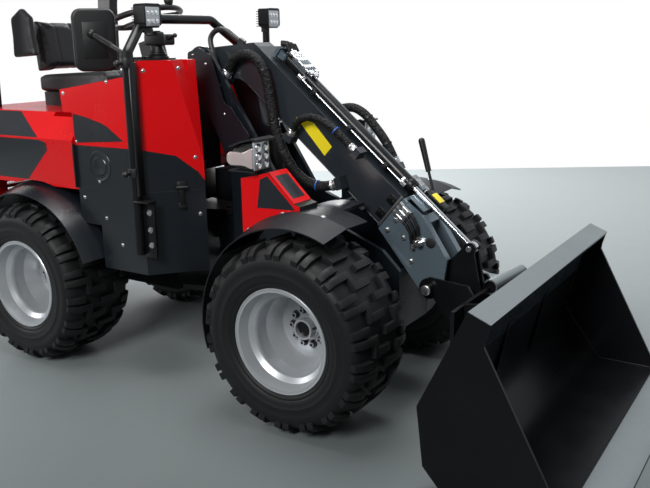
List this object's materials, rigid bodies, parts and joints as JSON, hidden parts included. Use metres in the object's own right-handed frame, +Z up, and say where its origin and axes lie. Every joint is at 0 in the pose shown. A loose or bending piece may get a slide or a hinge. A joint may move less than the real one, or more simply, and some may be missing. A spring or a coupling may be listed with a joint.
{
  "type": "mini wheel loader",
  "caption": "Compact articulated wheel loader with an open driver's seat, telescopic boom and wide bucket.",
  "frame": {"origin": "centre of the footprint box, on the ground", "axes": "+X to the bucket, +Y to the driver's left, +Z up"},
  "size_m": [3.416, 1.44, 2.202],
  "materials": {
    "black_paint": "semi-gloss black powder coat",
    "grey_paint": "semi-gloss dark grey paint",
    "red_paint": "glossy red paint",
    "rim_silver": "silver paint",
    "tyre": "black rubber",
    "iron": "cast iron",
    "vinyl": "black seat vinyl",
    "plastic": "textured black plastic",
    "chrome": "hard chrome",
    "lamp": "clear lamp body",
    "hose": "black hose in a woven sleeve"
  },
  "bodies": {
    "chassis": {"rear_frame": "black_paint", "engine_block": "iron", "counterweight": "iron", "rear_axle": "black_paint", "body_side_right": "grey_paint", "body_side_left": "grey_paint", "side_panel_right": "red_paint", "side_panel_left": "red_paint", "rear_hood": "red_paint", "cab_floor": "black_paint", "seat_base": "plastic", "seat_cushion": "vinyl", "seat_back": "vinyl", "armrest": "vinyl", "steering_column": "plastic", "steering_wheel": "plastic", "console": "plastic", "guard_frame": "black_paint", "rops": "black_paint", "mirror": "plastic"},
    "tail": {"tail_door": "red_paint"},
    "front": {"front_frame": "grey_paint", "front_axle": "black_paint", "front_fender_right": "grey_paint", "front_fender_left": "grey_paint", "headlamp_right": "lamp", "headlamp_left": "lamp"},
    "wheel_front_right": {"tyre_front_right": "tyre", "rim_front_right": "rim_silver"},
    "wheel_front_left": {"tyre_front_left": "tyre", "rim_front_left": "rim_silver"},
    "wheel_rear_right": {"tyre_rear_right": "tyre", "rim_rear_right": "rim_silver"},
    "wheel_rear_left": {"tyre_rear_left": "tyre", "rim_rear_left": "rim_silver"},
    "boom": {"boom_outer": "grey_paint", "hose_main": "hose", "hose_upper": "hose", "hose_left": "hose", "conduit": "hose"},
    "inner": {"boom_inner": "grey_paint", "tilt_barrel": "black_paint"},
    "tilt_piston": {"tilt_rod": "chrome"},
    "lever": {"levelling_lever": "black_paint"},
    "tool": {"carrier": "black_paint", "bucket": "black_paint"},
    "lift_cylinder": {"lift_barrel": "black_paint"},
    "lift_piston": {"lift_rod": "chrome"},
    "steer_cylinder": {"steer_barrel": "black_paint"},
    "steer_piston": {"steer_rod": "chrome"}
  },
  "joints": [
    {"name": "steer", "type": "hinge", "parent": "chassis", "child": "front", "pos_m": [-0.307, 0, 0.5], "axis": [0, 0, 1], "range_deg": [-38, 38]},
    {"name": "lift", "type": "hinge", "parent": "front", "child": "boom", "pos_m": [-0.338, 0, 1.41], "axis": [0, -1, 0], "range_deg": [0, 80]},
    {"name": "telescope", "type": "slide", "parent": "boom", "child": "inner", "axis": [0.7627, 0, -0.6468], "range_m": [0, 0.45]},
    {"name": "levelling", "type": "hinge", "parent": "inner", "child": "lever", "pos_m": [0.802, 0, 0.496], "axis": [0, -1, 0], "range_deg": [-80, 0]},
    {"name": "tilt", "type": "hinge", "parent": "lever", "child": "tool", "pos_m": [0.802, 0, 0.496], "axis": [0, 1, 0], "range_deg": [-40, 45]},
    {"name": "tilt_stroke", "type": "slide", "parent": "inner", "child": "tilt_piston", "axis": [0.7627, 0, -0.6468], "range_m": [-0.15, 0.17]},
    {"name": "lift_swing", "type": "hinge", "parent": "front", "child": "lift_cylinder", "pos_m": [0, 0, 0.47], "axis": [0, -1, 0], "range_deg": [-1, 2]},
    {"name": "lift_stroke", "type": "slide", "parent": "lift_cylinder", "child": "lift_piston", "axis": [-0.0422, 0, 0.9991], "range_m": [-0.01, 0.53]},
    {"name": "steer_swing", "type": "hinge", "parent": "chassis", "child": "steer_cylinder", "pos_m": [-0.648, 0.23, 0.4], "axis": [0, 0, 1], "range_deg": [-11, 11]},
    {"name": "steer_stroke", "type": "slide", "parent": "steer_cylinder", "child": "steer_piston", "axis": [0.9968, -0.0797, 0], "range_m": [-0.14, 0.14]},
    {"name": "tail_door", "type": "hinge", "parent": "chassis", "child": "tail", "pos_m": [-1.688, 0.446, 0.88], "axis": [0, 0, -1], "range_deg": [0, 110]},
    {"name": "wheel_front_right", "type": "hinge", "parent": "front", "child": "wheel_front_right", "pos_m": [0.452, -0.504, 0.384], "axis": [0, 1, 0], "continuous": true},
    {"name": "wheel_front_left", "type": "hinge", "parent": "front", "child": "wheel_front_left", "pos_m": [0.452, 0.504, 0.384], "axis": [0, 1, 0], "continuous": true},
    {"name": "wheel_rear_right", "type": "hinge", "parent": "chassis", "child": "wheel_rear_right", "pos_m": [-1.066, -0.504, 0.384], "axis": [0, 1, 0], "continuous": true},
    {"name": "wheel_rear_left", "type": "hinge", "parent": "chassis", "child": "wheel_rear_left", "pos_m": [-1.066, 0.504, 0.384], "axis": [0, 1, 0], "continuous": true}
  ],
  "couplings": [
    {"joint": "levelling", "follows": "lift", "ratio": -1},
    {"joint": "tilt_stroke", "follows": "tilt", "m_per_rad": 0.2},
    {"joint": "lift_swing", "follows": "lift", "ratio": -0.0094},
    {"joint": "lift_stroke", "follows": "lift", "m_per_rad": 0.3678},
    {"joint": "steer_swing", "follows": "steer", "ratio": 0.261},
    {"joint": "steer_stroke", "follows": "steer", "m_per_rad": -0.196}
  ]
}
